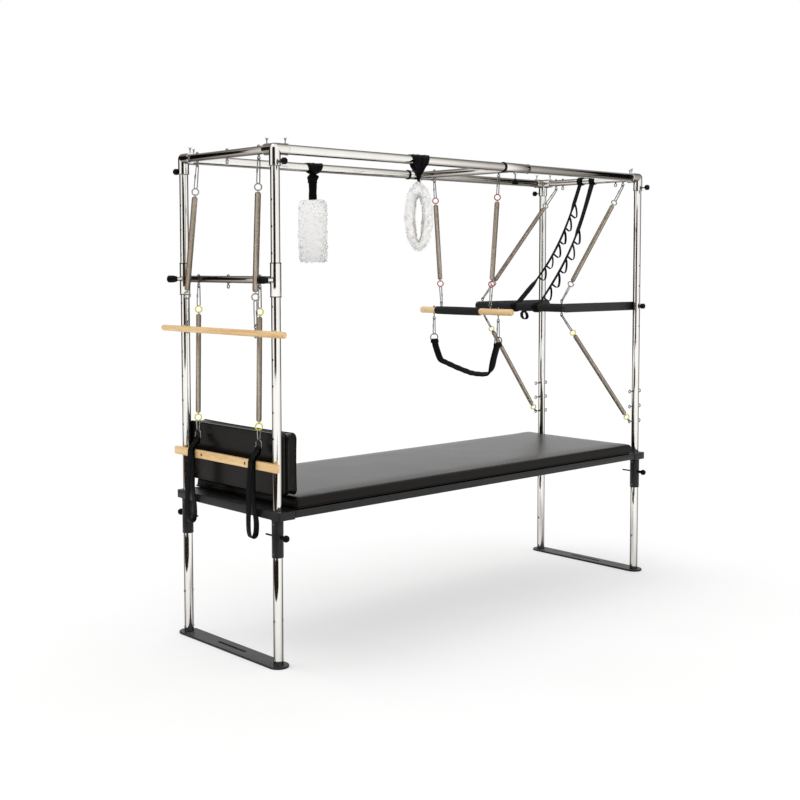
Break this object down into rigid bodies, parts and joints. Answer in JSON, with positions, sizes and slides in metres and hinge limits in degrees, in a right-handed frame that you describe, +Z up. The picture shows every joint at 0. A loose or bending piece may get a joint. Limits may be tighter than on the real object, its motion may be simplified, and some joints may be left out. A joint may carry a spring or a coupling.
{
  "type": "pilates trapeze table",
  "caption": "Padded exercise table in a tubular canopy frame, with roll-down bar, leg springs, trapeze with sling, push-through bar and fleece cuffs.",
  "frame": {"origin": "on the floor, under the middle of the whole object's outline", "axes": "+Z up, +X along the table to the end with the push-through bar, -Y to the front"},
  "size_m": [2.5822, 0.92, 2.2159],
  "materials": {
    "chrome": "polished",
    "steel_wire": "satin",
    "black_paint": "satin",
    "black_plastic": "matte",
    "vinyl": "satin",
    "board": "matte",
    "maple": "satin",
    "foam": "matte",
    "strap": "matte",
    "fleece": "matte"
  },
  "bodies": {
    "frame": {"left_end_beam": "black_paint", "left_top_frame": "chrome", "left_front_post": "chrome", "left_rear_post": "chrome", "right_end_beam": "black_paint", "right_top_frame": "chrome", "right_front_post": "chrome", "right_rear_post": "chrome", "deck": "maple", "mattress": "vinyl", "backrest_board": "board", "backrest_cushion": "vinyl", "backrest_slat": "maple", "safety_strap": "strap", "front_long_rail": "chrome", "front_side_rail": "black_paint", "front_push_top_spring": "steel_wire", "front_push_low_spring": "steel_wire", "rear_long_rail": "chrome", "rear_side_rail": "black_paint", "rear_push_top_spring": "steel_wire", "rear_push_low_spring": "steel_wire"},
    "left_leg_unit": {"left_foot_plate": "black_paint", "left_front_leg": "chrome", "left_rear_leg": "chrome"},
    "right_leg_unit": {"right_foot_plate": "black_paint", "right_front_leg": "chrome", "right_rear_leg": "chrome"},
    "left_front_leg_pin": {"left_front_leg_pin": "black_plastic"},
    "left_rear_leg_pin": {"left_rear_leg_pin": "black_plastic"},
    "right_front_leg_pin": {"right_front_leg_pin": "black_plastic"},
    "right_rear_leg_pin": {"right_rear_leg_pin": "black_plastic"},
    "left_front_corner_knob": {"left_front_corner_knob": "black_plastic"},
    "left_rear_corner_knob": {"left_rear_corner_knob": "black_plastic"},
    "right_front_corner_knob": {"right_front_corner_knob": "black_plastic"},
    "right_rear_corner_knob": {"right_rear_corner_knob": "black_plastic"},
    "crossbar": {"sliding_crossbar": "chrome"},
    "front_plunger": {"front_plunger": "black_plastic"},
    "front_leg_spring": {"front_leg_spring": "steel_wire", "front_foot_strap": "strap"},
    "rear_plunger": {"rear_plunger": "black_plastic"},
    "rear_leg_spring": {"rear_leg_spring": "steel_wire", "rear_foot_strap": "strap"},
    "roll_down": {"roll_down_bar": "maple", "front_roll_down_spring": "steel_wire", "rear_roll_down_spring": "steel_wire"},
    "canopy_slider": {"canopy_slider": "chrome"},
    "front_slider_knob": {"front_slider_knob": "black_plastic"},
    "rear_slider_knob": {"rear_slider_knob": "black_plastic"},
    "trapeze": {"trapeze_bar": "maple", "trapeze_grip": "foam", "front_trapeze_spring": "steel_wire", "rear_trapeze_spring": "steel_wire"},
    "sling": {"trapeze_sling": "strap"},
    "push_bar": {"push_through_bar": "black_paint"},
    "front_pivot_pin": {"front_pivot_pin": "black_plastic"},
    "rear_pivot_pin": {"rear_pivot_pin": "black_plastic"},
    "rear_cuff": {"rear_fleece_cuff": "fleece"},
    "front_cuff": {"front_fleece_cuff": "fleece"}
  },
  "joints": [
    {"name": "left_legs_slide", "type": "slide", "parent": "frame", "child": "left_leg_unit", "axis": [0, 0, 1], "range_m": [-0.055, 0]},
    {"name": "right_legs_slide", "type": "slide", "parent": "frame", "child": "right_leg_unit", "axis": [0, 0, 1], "range_m": [-0.055, 0]},
    {"name": "left_front_leg_pin_pull", "type": "slide", "parent": "frame", "child": "left_front_leg_pin", "axis": [0, -1, 0], "range_m": [0, 0.11]},
    {"name": "left_rear_leg_pin_pull", "type": "slide", "parent": "frame", "child": "left_rear_leg_pin", "axis": [0, 1, 0], "range_m": [0, 0.11]},
    {"name": "right_front_leg_pin_pull", "type": "slide", "parent": "frame", "child": "right_front_leg_pin", "axis": [0, -1, 0], "range_m": [0, 0.11]},
    {"name": "right_rear_leg_pin_pull", "type": "slide", "parent": "frame", "child": "right_rear_leg_pin", "axis": [0, 1, 0], "range_m": [0, 0.11]},
    {"name": "left_front_corner_knob_turn", "type": "hinge", "parent": "frame", "child": "left_front_corner_knob", "pos_m": [-1.20385, -0.341, 2.111], "axis": [0, -1, 0], "range_deg": [0, 360]},
    {"name": "left_rear_corner_knob_turn", "type": "hinge", "parent": "frame", "child": "left_rear_corner_knob", "pos_m": [-1.20385, 0.341, 2.111], "axis": [0, 1, 0], "range_deg": [0, 360]},
    {"name": "right_front_corner_knob_turn", "type": "hinge", "parent": "frame", "child": "right_front_corner_knob", "pos_m": [1.24615, -0.341, 2.111], "axis": [0, -1, 0], "range_deg": [0, 360]},
    {"name": "right_rear_corner_knob_turn", "type": "hinge", "parent": "frame", "child": "right_rear_corner_knob", "pos_m": [1.24615, 0.341, 2.111], "axis": [0, 1, 0], "range_deg": [0, 360]},
    {"name": "crossbar_slide", "type": "slide", "parent": "frame", "child": "crossbar", "axis": [0, 0, 1], "range_m": [0, 0.11]},
    {"name": "front_plunger_pull", "type": "slide", "parent": "crossbar", "child": "front_plunger", "axis": [-1, 0, 0], "range_m": [0, 0.012], "stiffness_N_per_m": 800},
    {"name": "front_leg_spring_swing", "type": "hinge", "parent": "crossbar", "child": "front_leg_spring", "pos_m": [-1.20385, -0.23, 1.589], "axis": [0, 1, 0], "range_deg": [0, 4]},
    {"name": "rear_plunger_pull", "type": "slide", "parent": "crossbar", "child": "rear_plunger", "axis": [-1, 0, 0], "range_m": [0, 0.012], "stiffness_N_per_m": 800},
    {"name": "rear_leg_spring_swing", "type": "hinge", "parent": "crossbar", "child": "rear_leg_spring", "pos_m": [-1.20385, 0.23, 1.589], "axis": [0, 1, 0], "range_deg": [0, 4]},
    {"name": "roll_down_swing", "type": "hinge", "parent": "frame", "child": "roll_down", "pos_m": [-1.20385, 0, 2.125], "axis": [0, 1, 0], "range_deg": [0, 80]},
    {"name": "canopy_slide", "type": "slide", "parent": "frame", "child": "canopy_slider", "axis": [1, 0, 0], "range_m": [-0.45, 0.3]},
    {"name": "front_slider_knob_turn", "type": "hinge", "parent": "canopy_slider", "child": "front_slider_knob", "pos_m": [0.25715, -0.341, 2.165], "axis": [0, 0, 1], "range_deg": [0, 360]},
    {"name": "rear_slider_knob_turn", "type": "hinge", "parent": "canopy_slider", "child": "rear_slider_knob", "pos_m": [0.25715, 0.341, 2.165], "axis": [0, 0, 1], "range_deg": [0, 360]},
    {"name": "trapeze_swing", "type": "hinge", "parent": "canopy_slider", "child": "trapeze", "pos_m": [0.25715, 0, 2.123], "axis": [0, 1, 0], "range_deg": [-25, 25]},
    {"name": "sling_swing", "type": "hinge", "parent": "trapeze", "child": "sling", "pos_m": [0.25715, 0, 1.4125], "axis": [0, 1, 0], "range_deg": [-20, 20]},
    {"name": "push_bar_swing", "type": "hinge", "parent": "frame", "child": "push_bar", "pos_m": [1.24615, 0, 1.468], "axis": [0, 1, 0], "range_deg": [0, 60], "stiffness_Nm_per_rad": 25, "deforming": ["front_push_top_spring", "rear_push_top_spring", "front_push_low_spring", "rear_push_low_spring", "safety_strap"]},
    {"name": "front_pivot_pin_pull", "type": "slide", "parent": "frame", "child": "front_pivot_pin", "axis": [0, -1, 0], "range_m": [0, 0.06]},
    {"name": "rear_pivot_pin_pull", "type": "slide", "parent": "frame", "child": "rear_pivot_pin", "axis": [0, 1, 0], "range_m": [0, 0.06]},
    {"name": "rear_cuff_swing", "type": "hinge", "parent": "frame", "child": "rear_cuff", "pos_m": [-0.46585, 0.341, 2.165], "axis": [1, 0, 0], "range_deg": [-30, 30]},
    {"name": "front_cuff_swing", "type": "hinge", "parent": "frame", "child": "front_cuff", "pos_m": [-0.39385, -0.341, 2.165], "axis": [1, 0, 0], "range_deg": [-30, 30]}
  ]
}
